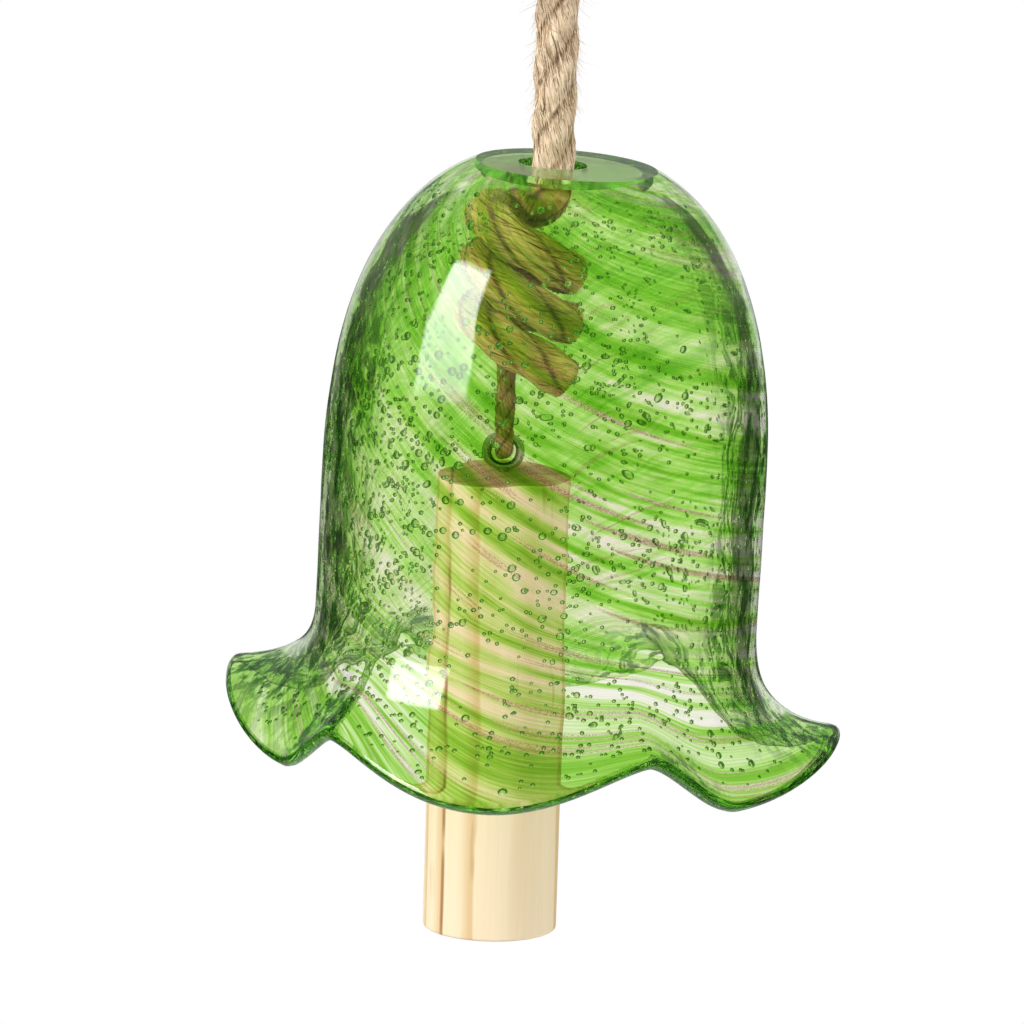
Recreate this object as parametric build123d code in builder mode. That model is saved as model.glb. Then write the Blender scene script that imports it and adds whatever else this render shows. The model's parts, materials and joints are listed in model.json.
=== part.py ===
from build123d import *
import os
from math import ceil, cos, pi, radians, sin, sqrt, tan

# Blown-glass wind bell in the form of a bellflower, hung on a jute rope, with a wooden
# dowel as its clapper. Millimetres, +Z up, +X to the right seen from the front, +Y to the back.
# The origin is the bearing point of the hanging loop, where a hook carries the weight.

# Jute rope and its hanging loop
ROPE_D = 8.0
LOOP_INNER_D = 20.0  # inside width of the loop's round top
LOOP_LEG = 36.0  # height of the two legs, from the round top to the loop knot
LOOP_KNOT_TURNS = 2
WRAP_GAP = 0.85  # free space between neighbouring turns of a knot
LOOP_ENTRY = 0.14  # turns after which the rope has joined the loop knot's winding
TAIL_LENGTH = 9.0  # straight rope end that sticks out of the loop knot
ROPE_RUN = 36.0  # rope from the loop knot down to the glass
BEND_GAP = 0.3  # free space round the rope where it bends

# Stopper knot under the glass
STOPPER_TURNS = 2.8
TURN_SLANT = 22.0  # degrees that each turn of the knot slopes down to the right
STOPPER_LEAN = 2.5  # degrees that the knot leans to the left on its way down
STOPPER_SHIFT = 4.2  # how far the knot's middle lies to the left of the rope
SEAT_GAP = 0.8  # knot to ceiling, room for the leaning bell to turn
STOPPER_STEM = 0.8  # straight rope in the hole, before the knot
STOPPER_ENTRY = 0.35  # turns after which the rope has joined the winding

# Glass bell
BODY_D = 83.6
WALL = 3.5
TOP_THICKNESS = 4.0
DISC_D = 34.0  # ground flat on top
CEILING_D = 30.0  # flat on the inside, round the hole
HOLE_CLEARANCE = 2.5  # round the rope
HOLE_OFFSET = 1.8  # hole to the left of the bell's axis
HOLE_BACK = 0.3  # hole behind the bell's axis
SHOULDER_DROP = 60.0  # top to the end of the dome
DOME_POWER = 2.4  # 2 is an ellipse, more is a fuller shoulder
BODY_LENGTH = 26.0  # straight wall below the dome
LIP_THICKNESS = 2.8
BELL_TILT = 1.5  # degrees, top to the right, as it hangs
GRIND_TILT = 1.3  # degrees that the ground top is out of square
# Crests and hollows of the ruffled lip: degrees from the front towards the right, reach past
# the body, drop of the edge below the neck, and drop of the bend from which the lip flares
LIP_WAVES = (
    (-106, 16.5, 16.2, 13.8),
    (-60, 10.5, 24.8, 11.0),
    (-46, 9.2, 17.2, 9.0),
    (-9, 14.4, 24.9, 11.0),
    (26, 9.4, 16.8, 10.0),
    (48, 10.9, 26.4, 14.0),
    (93, 15.8, 20.6, 20.2),
    (122, 11.2, 26.0, 15.0),
    (152, 15.2, 15.0, 10.0),
    (180, 11.0, 25.0, 12.0),
    (208, 15.2, 15.0, 10.0),
    (232, 12.2, 22.0, 11.0),
)
LIP_FULLNESS = 0.72  # 1 is an even wave, less gives round lobes and narrow hollows
RING_POINTS = 72
# Where the rings lie: shares of the way from a flat to the neck, and along and round the lip
OUTER_SHARES = (-0.014, 0.012, 0.05, 0.1, 0.17, 0.26, 0.38, 0.53, 0.7, 0.86, 1)
INNER_SHARES = (0, 0.015, 0.05, 0.1, 0.17, 0.26, 0.38, 0.53, 0.7, 0.86, 1)
LIP_SHARES = (0.2, 0.4, 0.6, 0.8, 1)
RIM_TURNS = (45, 90, 135)

# Clapper
CLAPPER_SHIFT = 7.5  # how far the clapper hangs to the left of the rope
CORD_D = 3.6
CORD_DROP = 20.3  # knot to the cord's turn in the eye
CORD_TOP = 0.5  # cord above its pivot, up to the knot
CORD_FOOT = 1.08  # half width of the cord's loop at its foot, as a share of its turn's radius
EYE_WIRE_D = 1.7
EYE_PLAY = 0.55  # cord to the inside of the eye
CORD_PLAY = 0.15  # cord to the wire that it carries
EYE_STAND = 0.2  # eye above the dowel
SHANK_LENGTH = 14.0
SHANK_TIP = 3.0
SHANK_FIT = 0.05
PILOT_SPARE = 1.0  # pilot hole past the screw's tip
DOWEL_D = 25.4
DOWEL_LENGTH = 88.0
DOWEL_EDGE = 0.6

# Places worked out from the sizes
ROPE_R = ROPE_D / 2
PITCH = ROPE_D + 2 * WRAP_GAP
TURN_R = ROPE_D + WRAP_GAP
LOOP_R = (LOOP_INNER_D + ROPE_D) / 2
LOOP_CENTRE_Z = ROPE_R - LOOP_R
LOOP_KNOT_Z = LOOP_CENTRE_Z - LOOP_LEG
LOOP_FOOT_Z = LOOP_KNOT_Z + ROPE_D
ROPE_TOP_Z = LOOP_KNOT_Z - LOOP_KNOT_TURNS * PITCH - ROPE_R
GLASS_TOP_Z = ROPE_TOP_Z - ROPE_RUN
BELL_PIVOT_Z = GLASS_TOP_Z - TOP_THICKNESS / 2
CEILING_Z = GLASS_TOP_Z - TOP_THICKNESS
HOLE_D = ROPE_D + 2 * HOLE_CLEARANCE
BODY_R = BODY_D / 2
NECK_DROP = SHOULDER_DROP + BODY_LENGTH

SLANT = radians(TURN_SLANT)
TURN_RISE = TURN_R * sin(SLANT)
STOPPER_Z = CEILING_Z - SEAT_GAP - ROPE_R - TURN_RISE + PITCH / 2
CLAPPER_X = -CLAPPER_SHIFT
CORD_PIVOT_Z = STOPPER_Z - STOPPER_TURNS * PITCH

EYE_R = CORD_D / 2 + EYE_PLAY + EYE_WIRE_D / 2
CORD_TURN_R = (EYE_WIRE_D + CORD_D) / 2 + CORD_PLAY
CORD_LEG_Y = CORD_D / 2 + 2 * CORD_PLAY
CLAPPER_PIVOT_Z = CORD_PIVOT_Z - CORD_DROP
EYE_TOP_Z = CLAPPER_PIVOT_Z + CORD_TURN_R
EYE_Z = EYE_TOP_Z - EYE_R
DOWEL_TOP_Z = EYE_Z - EYE_R - EYE_WIRE_D / 2 - EYE_STAND


def biarc(start, start_way, end, end_way):
    """Two arcs that leave start along start_way and reach end along end_way."""
    chord = end - start
    along = chord.dot(start_way + end_way)
    turn = 2 * (1 - start_way.dot(end_way))
    reach = chord.dot(chord) / (along + sqrt(along**2 + turn * chord.dot(chord)))
    first = start + start_way * reach
    last = end - end_way * reach
    middle = (first + last) * 0.5
    TangentArc(start, middle, tangent=start_way)
    TangentArc(middle, end, tangent=last - first)


def winding_way(place, count):
    """Unit vector along a winding, at a count of turns."""
    step = 0.001
    return (place(count + step) - place(count - step)).normalized()


def wind(place, first, last):
    """Biarcs of about a quarter turn along a winding, between two counts of turns."""
    steps = ceil(4 * (last - first))
    counts = [first + (last - first) * i / steps for i in range(steps + 1)]
    for one, two in zip(counts, counts[1:]):
        biarc(place(one), winding_way(place, one), place(two), winding_way(place, two))


def print_tube(name, line, diameter):
    """Prints a tube's length, its arcs' radii and the least gap to itself."""
    spacing = 0.5
    wire = line.wires()[0]
    radii = [round(arc.radius, 1) for arc in line.edges().filter_by(GeomType.CIRCLE)]
    count = ceil(wire.length / spacing)
    points = [wire.position_at(i / count) for i in range(count + 1)]
    apart = ceil(2 * diameter / spacing)
    gaps = [
        (points[i] - points[j]).length - diameter
        for i in range(count + 1)
        for j in range(i + apart, count + 1)
    ]
    print(f"{name}: length {wire.length:.1f}, radii {radii}, least gap {min(gaps):.2f}")


UP = Vector(0, 0, 1)
DOWN = Vector(0, 0, -1)


# Hanging loop: up out of the loop knot, over the hook and down to the first turn
with BuildPart() as hanging_loop:
    with BuildLine() as loop_line:
        Line((0, 0, ROPE_TOP_Z), (0, 0, LOOP_FOOT_Z))
        biarc(Vector(0, 0, LOOP_FOOT_Z), UP, Vector(LOOP_R, 0, LOOP_CENTRE_Z), UP)
        ThreePointArc((LOOP_R, 0, LOOP_CENTRE_Z), (0, 0, ROPE_R), (-LOOP_R, 0, LOOP_CENTRE_Z))
        biarc(Vector(-LOOP_R, 0, LOOP_CENTRE_Z), DOWN, Vector(-TURN_R, 0, LOOP_FOOT_Z), DOWN)
    with BuildSketch(Plane((0, 0, ROPE_TOP_Z))):
        Circle(ROPE_R)
    sweep()
    with Locations((0, 0, ROPE_TOP_Z)):
        Sphere(ROPE_R + BEND_GAP, mode=Mode.SUBTRACT)
print_tube("hanging_loop", loop_line, ROPE_D)


# Loop knot: the rope's end, wound round its own standing part
def loop_knot_place(count):
    angle = pi + 2 * pi * count
    return Vector(TURN_R * cos(angle), TURN_R * sin(angle), LOOP_KNOT_Z - PITCH * count)


with BuildPart() as loop_knot:
    with BuildLine() as loop_knot_line:
        biarc(
            Vector(-TURN_R, 0, LOOP_FOOT_Z),
            DOWN,
            loop_knot_place(LOOP_ENTRY),
            winding_way(loop_knot_place, LOOP_ENTRY),
        )
        wind(loop_knot_place, LOOP_ENTRY, LOOP_KNOT_TURNS)
        tail_start = loop_knot_place(LOOP_KNOT_TURNS)
        tail_way = winding_way(loop_knot_place, LOOP_KNOT_TURNS)
        Line(tail_start, tail_start + tail_way * TAIL_LENGTH)
    with BuildSketch(Plane((-TURN_R, 0, LOOP_FOOT_Z))):
        Circle(ROPE_R)
    sweep()
print_tube("loop_knot", loop_knot_line, ROPE_D)


# Hanging rope: the straight run, with ball ends on which it bends at the knot and the glass
with BuildPart() as hanging_rope:
    with BuildSketch(Plane.XZ):
        with BuildLine():
            Line((0, ROPE_TOP_Z + ROPE_R), (0, BELL_PIVOT_Z - ROPE_R))
            RadiusArc((0, BELL_PIVOT_Z - ROPE_R), (ROPE_R, BELL_PIVOT_Z), -ROPE_R)
            Line((ROPE_R, BELL_PIVOT_Z), (ROPE_R, ROPE_TOP_Z))
            RadiusArc((ROPE_R, ROPE_TOP_Z), (0, ROPE_TOP_Z + ROPE_R), -ROPE_R)
        make_face()
    revolve(axis=Axis.Z)


# Stopper knot: slanted turns under the glass, which sits on them
def stopper_place(count):
    angle = 2 * pi * count
    drop = PITCH * count
    return Vector(
        -STOPPER_SHIFT - drop * tan(radians(STOPPER_LEAN)) + TURN_R * cos(SLANT) * cos(angle),
        TURN_R * sin(angle),
        STOPPER_Z - drop - TURN_RISE * cos(angle),
    )


with BuildPart() as stopper_knot:
    with BuildLine() as stopper_line:
        Line((0, 0, BELL_PIVOT_Z), (0, 0, BELL_PIVOT_Z - STOPPER_STEM))
        biarc(
            Vector(0, 0, BELL_PIVOT_Z - STOPPER_STEM),
            DOWN,
            stopper_place(STOPPER_ENTRY),
            winding_way(stopper_place, STOPPER_ENTRY),
        )
        wind(stopper_place, STOPPER_ENTRY, STOPPER_TURNS)
        end = stopper_place(STOPPER_TURNS)
        Line(end, end + winding_way(stopper_place, STOPPER_TURNS) * ROPE_D)
    with BuildSketch(Plane((0, 0, BELL_PIVOT_Z), z_dir=DOWN)):
        Circle(ROPE_R)
    sweep()
    with Locations((0, 0, BELL_PIVOT_Z)):
        Sphere(ROPE_R + BEND_GAP, mode=Mode.SUBTRACT)
print_tube("stopper_knot", stopper_line, ROPE_D)


# Glass bell: rings down the outside, round the lip and up the inside
bell_plane = Plane(
    (0, 0, GLASS_TOP_Z),
    x_dir=(cos(radians(BELL_TILT)), 0, -sin(radians(BELL_TILT))),
    z_dir=(sin(radians(BELL_TILT)), 0, cos(radians(BELL_TILT))),
)
ground_angle = radians(BELL_TILT + GRIND_TILT)
ground_plane = Plane((0, 0, GLASS_TOP_Z), z_dir=(sin(ground_angle), 0, cos(ground_angle)))


def dome_radius(drop, side_radius, flat_radius, flat_drop):
    """Radius of a superelliptic dome that starts at a flat and ends at the shoulder."""
    flat_share = (flat_radius / side_radius) ** DOME_POWER
    height = (SHOULDER_DROP - flat_drop) / (1 - flat_share) ** (1 / DOME_POWER)
    share = max(SHOULDER_DROP - drop, 0) / height
    return side_radius * (1 - share**DOME_POWER) ** (1 / DOME_POWER)


def lip_edge(angle):
    """Reach, drop and bend of the lip, eased from wave to wave."""
    turn = (angle - LIP_WAVES[0][0]) % 360 + LIP_WAVES[0][0]
    last = (LIP_WAVES[0][0] + 360, *LIP_WAVES[0][1:])
    for one, two in zip(LIP_WAVES, (*LIP_WAVES[1:], last)):
        if turn <= two[0]:
            share = (1 - cos(pi * (turn - one[0]) / (two[0] - one[0]))) / 2
            if two[2] > one[2]:
                share = share**LIP_FULLNESS
            else:
                share = 1 - (1 - share) ** LIP_FULLNESS
            return [a + (b - a) * share for a, b in zip(one[1:], two[1:])]


def lip_point(angle, along, round_rim):
    """Radius and drop on the lip: round_rim is 0 outside, 90 on the rim and 180 inside."""
    reach, drop, bend = lip_edge(angle)
    middle_r = BODY_R - WALL / 2
    radius = middle_r + (BODY_R + reach - middle_r) * along**2
    height = NECK_DROP + 2 * along * (1 - along) * bend + along**2 * drop
    way_r = 2 * along * (BODY_R + reach - middle_r)
    way_drop = 2 * (1 - 2 * along) * bend + 2 * along * drop
    length = sqrt(way_r**2 + way_drop**2)
    half = (WALL + (LIP_THICKNESS - WALL) * along) / 2
    out = half * cos(radians(round_rim)) / length
    past = half * sin(radians(round_rim)) / length
    return radius + out * way_drop + past * way_r, height - out * way_r + past * way_drop


def bell_ring(meridian):
    """Closed curve round the bell, from the radius and drop at each angle."""
    points = []
    for step in range(RING_POINTS):
        angle = 360 * step / RING_POINTS
        radius, drop = meridian(angle)
        across = radius * sin(radians(angle))
        forward = radius * cos(radians(angle))
        points.append((HOLE_OFFSET + across, -HOLE_BACK - forward, -drop))
    places = [bell_plane.from_local_coords(point) for point in points]
    return Wire([Edge.make_spline(places, periodic=True, parameters=range(RING_POINTS + 1))])


def dome_rings(side_radius, flat_radius, flat_drop, shares):
    """Rings of the dome and of the straight wall below it."""
    rings = []
    for share in shares:
        drop = flat_drop + (NECK_DROP - flat_drop) * share
        radius = dome_radius(drop, side_radius, flat_radius, flat_drop)
        rings.append(bell_ring(lambda angle: (radius, drop)))
    return rings


outside = dome_rings(BODY_R, DISC_D / 2, 0, OUTER_SHARES)
inside = dome_rings(BODY_R - WALL, CEILING_D / 2, TOP_THICKNESS, INNER_SHARES)
lip = [bell_ring(lambda angle: lip_point(angle, along, 0)) for along in LIP_SHARES]
rim = [bell_ring(lambda angle: lip_point(angle, 1, turn)) for turn in RIM_TURNS]
lip_inside = [bell_ring(lambda angle: lip_point(angle, along, 180)) for along in LIP_SHARES]

with BuildPart() as glass_bell:
    add(Solid.make_loft([*outside, *lip, *rim, *lip_inside[::-1], *inside[::-1]]))
    split(bisect_by=ground_plane, keep=Keep.BOTTOM)
    with Locations(bell_plane):
        Hole(HOLE_D / 2)


# Clapper cord: a loop of twine out of the knot, through the eye and back
cord_plane = Plane((CLAPPER_X, 0, 0), x_dir=(0, 1, 0), z_dir=(1, 0, 0))
with BuildPart() as clapper_cord:
    with BuildLine(cord_plane) as cord_line:
        top = CORD_PIVOT_Z + CORD_TOP
        corner = CORD_TURN_R * CORD_FOOT
        FilletPolyline(
            (-CORD_LEG_Y, top),
            (-corner, CLAPPER_PIVOT_Z),
            (corner, CLAPPER_PIVOT_Z),
            (CORD_LEG_Y, top),
            radius=CORD_TURN_R,
        )
    with BuildSketch(Plane(cord_line.line @ 0, z_dir=cord_line.line % 0)):
        Circle(CORD_D / 2)
    sweep()
print_tube("clapper_cord", cord_line, CORD_D)


# Screw eye: a wire ring on a shank that is screwed into the dowel
with BuildPart() as screw_eye:
    with BuildSketch(Plane.XY.offset(DOWEL_TOP_Z - SHANK_LENGTH + SHANK_TIP)):
        with Locations((CLAPPER_X, 0)):
            Circle(EYE_WIRE_D / 2)
    extrude(amount=SHANK_LENGTH - SHANK_TIP + EYE_Z - EYE_R - DOWEL_TOP_Z)
    with Locations((CLAPPER_X, 0, DOWEL_TOP_Z - SHANK_LENGTH + SHANK_TIP / 2)):
        Cone(0, EYE_WIRE_D / 2, SHANK_TIP)
    with Locations(Location((CLAPPER_X, 0, EYE_Z), (90, 0, 0))):
        Torus(EYE_R, EYE_WIRE_D / 2)


# Clapper dowel: a length of round pine with a pilot hole for the eye
with BuildPart() as clapper_dowel:
    with BuildSketch(Plane.XY.offset(DOWEL_TOP_Z)):
        with Locations((CLAPPER_X, 0)):
            Circle(DOWEL_D / 2)
    extrude(amount=-DOWEL_LENGTH)
    fillet(clapper_dowel.edges().filter_by(GeomType.CIRCLE), DOWEL_EDGE)
    with Locations((CLAPPER_X, 0, DOWEL_TOP_Z)):
        Hole(EYE_WIRE_D / 2 + SHANK_FIT, SHANK_LENGTH + PILOT_SPARE)


pieces = {
    "hanging_loop": hanging_loop,
    "loop_knot": loop_knot,
    "hanging_rope": hanging_rope,
    "stopper_knot": stopper_knot,
    "glass_bell": glass_bell,
    "clapper_cord": clapper_cord,
    "screw_eye": screw_eye,
    "clapper_dowel": clapper_dowel,
}
os.makedirs("parts", exist_ok=True)
for name, piece in pieces.items():
    piece.part.label = name
    export_step(piece.part, f"parts/{name}.step")
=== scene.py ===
import json
import math
import random

import bmesh
import bpy
import numpy as np
from mathutils import Matrix, Vector, noise


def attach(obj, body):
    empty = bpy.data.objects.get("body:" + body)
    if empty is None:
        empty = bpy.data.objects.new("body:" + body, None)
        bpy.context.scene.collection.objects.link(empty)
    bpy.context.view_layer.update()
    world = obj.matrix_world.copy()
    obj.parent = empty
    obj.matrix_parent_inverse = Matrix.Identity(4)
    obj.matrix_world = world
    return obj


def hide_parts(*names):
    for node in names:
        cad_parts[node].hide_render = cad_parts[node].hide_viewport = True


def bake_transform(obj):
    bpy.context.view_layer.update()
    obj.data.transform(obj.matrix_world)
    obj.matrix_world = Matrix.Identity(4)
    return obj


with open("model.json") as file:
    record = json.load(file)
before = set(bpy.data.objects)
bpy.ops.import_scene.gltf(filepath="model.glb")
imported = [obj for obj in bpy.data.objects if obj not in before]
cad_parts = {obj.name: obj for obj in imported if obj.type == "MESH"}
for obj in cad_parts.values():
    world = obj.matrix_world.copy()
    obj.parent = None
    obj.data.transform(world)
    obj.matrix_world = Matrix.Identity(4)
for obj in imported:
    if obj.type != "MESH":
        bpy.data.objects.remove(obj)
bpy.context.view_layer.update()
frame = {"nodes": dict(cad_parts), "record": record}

bl_info = {
    "name": "Glass wind bell",
    "version": (1, 0, 0),
    "blender": (4, 5, 0),
    "location": "View3D > Sidebar > Wind bell",
    "description": "Dresses a blown-glass wind bell that hangs on a jute rope, with a pine clapper",
    "category": "Object",
}

MM = 0.001

# Places that the frame gives, in metres
JOINTS = {joint["name"]: joint for joint in frame["record"]["behaviour"]["joints"]}
ROPE_TOP_Z = JOINTS["rope_swing"]["pos_m"][2]
BELL_PIVOT_Z = JOINTS["bell_swing"]["pos_m"][2]
GLASS_TOP = Vector(JOINTS["bell_spin"]["pos_m"])
BELL_AXIS = Vector(JOINTS["bell_spin"]["axis"]).normalized()
CORD_PIVOT = Vector(JOINTS["clapper_cord_swing"]["pos_m"])
CLAPPER_PIVOT = Vector(JOINTS["clapper_swing"]["pos_m"])
CLAPPER_X = CLAPPER_PIVOT.x

# Rope, knots and twine, in millimetres
ROPE_D = 8.0
TWINE_D = 3.6
WRAP_GAP = 0.85  # free space between neighbouring turns of a knot
TURN_R = ROPE_D + WRAP_GAP
PITCH = ROPE_D + 2 * WRAP_GAP
LOOP_R = 14.0
LOOP_LEG = 36.0
LOOP_CENTRE_Z = ROPE_D / 2 - LOOP_R
LOOP_KNOT_Z = LOOP_CENTRE_Z - LOOP_LEG
LOOP_FOOT = 8.0  # start of the loop's rope above the bend under its knot
LOOP_KNOT_TURNS = 2
LOOP_ENTRY = 0.14  # turns after which the rope has joined the winding
ARCH_TURNS = (18, 54, 90, 126, 162)  # degrees round the loop's top
TAIL_LENGTH = 9.0
HANGING_HEAD = 9.0  # top of the hanging rope above the bend under the loop knot
HANGING_FOOT = 2.0  # foot of the hanging rope below the bend in the glass
STOPPER_TURNS = 2.8
STOPPER_ENTRY = 0.35
STOPPER_Z = -112.665  # middle of the stopper knot's first turn
STOPPER_SHIFT = 4.2
STOPPER_LEAN = math.radians(2.5)
TURN_SLANT = math.radians(22)
POINTS_PER_TURN = 24
TURN_CORNER_R = TURN_R / math.cos(math.pi / POINTS_PER_TURN)
TWINE_LAY = 0.42  # as a share of the rope's lay
TWINE_FIBRES = (1500, 240)  # lying and stray

# Section of a laid rope, as shares of its diameter
STRANDS = 3
STRAND_CENTRE = 0.235
STRAND_R = 0.27
DARKEST_R = 0.295  # radius at which the painted shade in a groove is darkest
GROOVE_R = 0.445  # radius that the fibres fill the grooves to
END_RISE = 0.12
ROPE_SIDES = 72
FIBRE_RIDGES = 5
RIDGE_RUN = 1.4  # changes of the ridges in one diameter of rope

# Fibres on a rope, with their sizes as shares of its diameter
FIBRE_LEAN = 0.3  # turn of the fibres against each turn of the strands
FIBRE_JOINTS = 6
FIBRE_SIDES = 3
FIBRE_LENGTH = (0.35, 1.0)
FIBRE_THICKNESS = (0.008, 0.021)
FIBRE_FLATNESS = 0.6
FIBRE_ARCH = 0.05
FIBRE_SINK = 0.018
STRAY_REACH = 0.085
STRAY_SHORTER = 0.45
STRAY_THINNER = 0.72
STRAY_FREE_END = 0.3  # last part of a rope that stray fibres stay off

# Glass bell, in millimetres
BODY_R = 41.8
WALL = 3.5
TOP_THICKNESS = 4.0
DISC_R = 17.0
CEILING_R = 15.0
HOLE_R = 6.5
HOLE_OFFSET = 1.8
HOLE_BACK = 0.3
SHOULDER_DROP = 60.0
DOME_POWER = 2.4
NECK_DROP = 86.0
LIP_THICKNESS = 2.8
LIP_FULLNESS = 0.72
GRIND_SLOPE = math.tan(math.radians(1.3))
# Lip: degrees from the front towards the right, reach past the body, drop of the edge and of the bend
LIP_WAVES = (
    (-106, 16.5, 16.2, 13.8),
    (-60, 10.5, 24.8, 11.0),
    (-46, 9.2, 17.2, 9.0),
    (-9, 14.4, 24.9, 11.0),
    (26, 9.4, 16.8, 10.0),
    (48, 10.9, 26.4, 14.0),
    (93, 15.8, 20.6, 20.2),
    (122, 11.2, 26.0, 15.0),
    (152, 15.2, 15.0, 10.0),
    (180, 11.0, 25.0, 12.0),
    (208, 15.2, 15.0, 10.0),
    (232, 12.2, 22.0, 11.0),
)
LIP_RUN = 27.0  # length of the lip along its slope, for the swirl
BELL_SIDES = 360
DOME_ROWS = 84
DOME_CROWDING = 1.35  # more than 1 sets the rows closer together near the top
LIP_ROWS = 20
RIM_TURNS = (30, 60, 90, 120, 150)
GRIND_ROUNDS = 6  # rounds in which the ground edge settles on the dome
SLOPE_STEPS = 500
# Rings of the top, as shares of the way in to the hole, up it and out over the ground disc
CEILING_SHARES = (0.35, 0.7, 1)
HOLE_SHARES = (0.33, 0.67, 1)
DISC_SHARES = (0.2, 0.4, 0.6, 0.8)
# Waves of the blown surfaces: length in millimetres and height as a share of the waviness
SURFACE_WAVES = ((26.0, 1.4), (9.0, 0.7), (4.5, 0.3))
TOP_CALM = 14.0  # run in which the waves grow below the disc
LIP_CALM = 10.0  # run in which they fade towards the rim
SWIRL_TWIST = 0.0383  # radians in a millimetre of run
LIP_TWIST = 0.03  # more twist on the lip
LIP_TWIST_START = 6.0  # run above the lip at which that begins
SWIRL_RISE = 0.004  # change down the bell in a millimetre of run
TRAPPED_DEPTH = 2.5  # mirrorings after which light counts as trapped in the glass

# Bubbles, with their sizes as shares of the largest radius
BUBBLE_SEED = 29
BUBBLE_TRIES = 40  # for each bubble
WIDE_BUBBLE = (0.55, 0.9)
SMALL_BUBBLE = (0.32, 0.56)
WIDE_FLATNESS = (0.35, 0.6)
SMALL_FLATNESS = (0.75, 1.0)
BUBBLE_STRETCH = (1, 1.25)
BUBBLE_SLOPE = (10, 40)  # degrees
BUBBLE_COVER = 0.35  # least glass over a bubble, in millimetres

# Pine dowel, in metres from its middle
PITH = (-0.021, 0.034)  # across and back
RESIN_LINE = 0.0084  # to the left

# Stage, in metres
FLOOR_R = 0.95
SOFTBOX = ((-1.004, -0.146, 0.719), (-0.727, -0.61, 0.796), (-0.887, -0.995, -0.038),
           (-1.278, -0.369, -0.081))
LAMP_AIM = (0, 0, -0.17)
SOFTBOX_LEVELS = (8.0, 17.0)  # at its foot and at its head
VIEW_DROP = 0.073  # glass top to the middle of the view
CAMERA_SHIFT = (-0.0281, 0.0322)


# Settings that a user would change


class RopeSettings(bpy.types.PropertyGroup):
    """Jute rope and twine"""

    lay: bpy.props.FloatProperty(
        name="Lay", description="Length of one turn of the rope's strands",
        default=0.031, unit="LENGTH")
    fibre_lift: bpy.props.FloatProperty(
        name="Fibre lift", description="Height of the fibres on the strands",
        default=0.00016, unit="LENGTH")
    fibres_per_metre: bpy.props.IntProperty(
        name="Fibres", description="Fibres that lie on a metre of rope", default=26000, min=0)
    hairs_per_metre: bpy.props.IntProperty(
        name="Hairs", description="Stray fibres on a metre of rope", default=7000, min=0)
    light: bpy.props.FloatVectorProperty(
        name="Light fibre", description="Colour of the light jute fibres",
        subtype="COLOR", default=(0.95, 0.80, 0.61))
    middle: bpy.props.FloatVectorProperty(
        name="Middle fibre", description="Colour of most jute fibres",
        subtype="COLOR", default=(0.68, 0.49, 0.30))
    # Painted shade: this dark tone stands in for the shade deep in the grooves between the strands
    groove_shade: bpy.props.FloatVectorProperty(
        name="Dark fibre", description="Colour deep between the strands",
        subtype="COLOR", default=(0.15, 0.075, 0.03))
    # Painted shade: the knot's tones are multiplied by this darker, browner tint, standing in for the
    # shade of the glass round the knot
    knot_shade_tint: bpy.props.FloatVectorProperty(
        name="Knot tint", description="Browner tone of the rope that is knotted in the bell",
        subtype="COLOR", default=(0.80, 0.66, 0.36))


class GlassSettings(bpy.types.PropertyGroup):
    """Blown glass with green swirls"""

    bubbles: bpy.props.IntProperty(
        name="Bubbles", description="Bubbles in the glass", default=3400, min=0)
    bubble_radius: bpy.props.FloatProperty(
        name="Bubble radius", description="Radius of the largest bubbles",
        default=0.00095, unit="LENGTH")
    waviness: bpy.props.FloatProperty(
        name="Waviness", description="How far the blown surfaces wander",
        default=0.0001, unit="LENGTH")
    deep_green: bpy.props.FloatVectorProperty(
        name="Deep green", description="Tint of the strongest streaks",
        subtype="COLOR", default=(0.21, 0.55, 0.034))
    green: bpy.props.FloatVectorProperty(
        name="Green", description="Tint of most streaks",
        subtype="COLOR", default=(0.47, 0.79, 0.19))
    clear: bpy.props.FloatVectorProperty(
        name="Clear", description="Tint of the clear streaks",
        subtype="COLOR", default=(0.97, 0.91, 0.88))
    mica: bpy.props.FloatVectorProperty(
        name="Mica", description="Tint of the mica streaks",
        subtype="COLOR", default=(0.60, 0.43, 0.36))
    back: bpy.props.FloatVectorProperty(
        name="Back", description="Tint of the paler glass at the back",
        subtype="COLOR", default=(0.74, 0.91, 0.50))


class ClapperSettings(bpy.types.PropertyGroup):
    """Pine dowel and its screw eye"""

    ring_spacing: bpy.props.FloatProperty(
        name="Growth rings", description="Spacing of the pine's growth rings",
        default=0.0052, unit="LENGTH")
    early_wood: bpy.props.FloatVectorProperty(
        name="Early wood", description="Colour of the pale wood",
        subtype="COLOR", default=(0.90, 0.75, 0.52))
    late_wood: bpy.props.FloatVectorProperty(
        name="Late wood", description="Colour of the darker end of a ring",
        subtype="COLOR", default=(0.74, 0.53, 0.28))
    resin: bpy.props.FloatVectorProperty(
        name="Resin", description="Colour of the resin lines",
        subtype="COLOR", default=(0.36, 0.16, 0.05))
    # Darkens both sawn ends: partly the darker end grain of pine, partly painted shade on the top end
    # under the knot
    end_grain_and_shade: bpy.props.FloatVectorProperty(
        name="End grain", description="Tint that darkens the sawn ends",
        subtype="COLOR", default=(0.50, 0.45, 0.31))
    zinc: bpy.props.FloatVectorProperty(
        name="Zinc", description="Colour of the screw eye",
        subtype="COLOR", default=(0.66, 0.68, 0.68))


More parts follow.
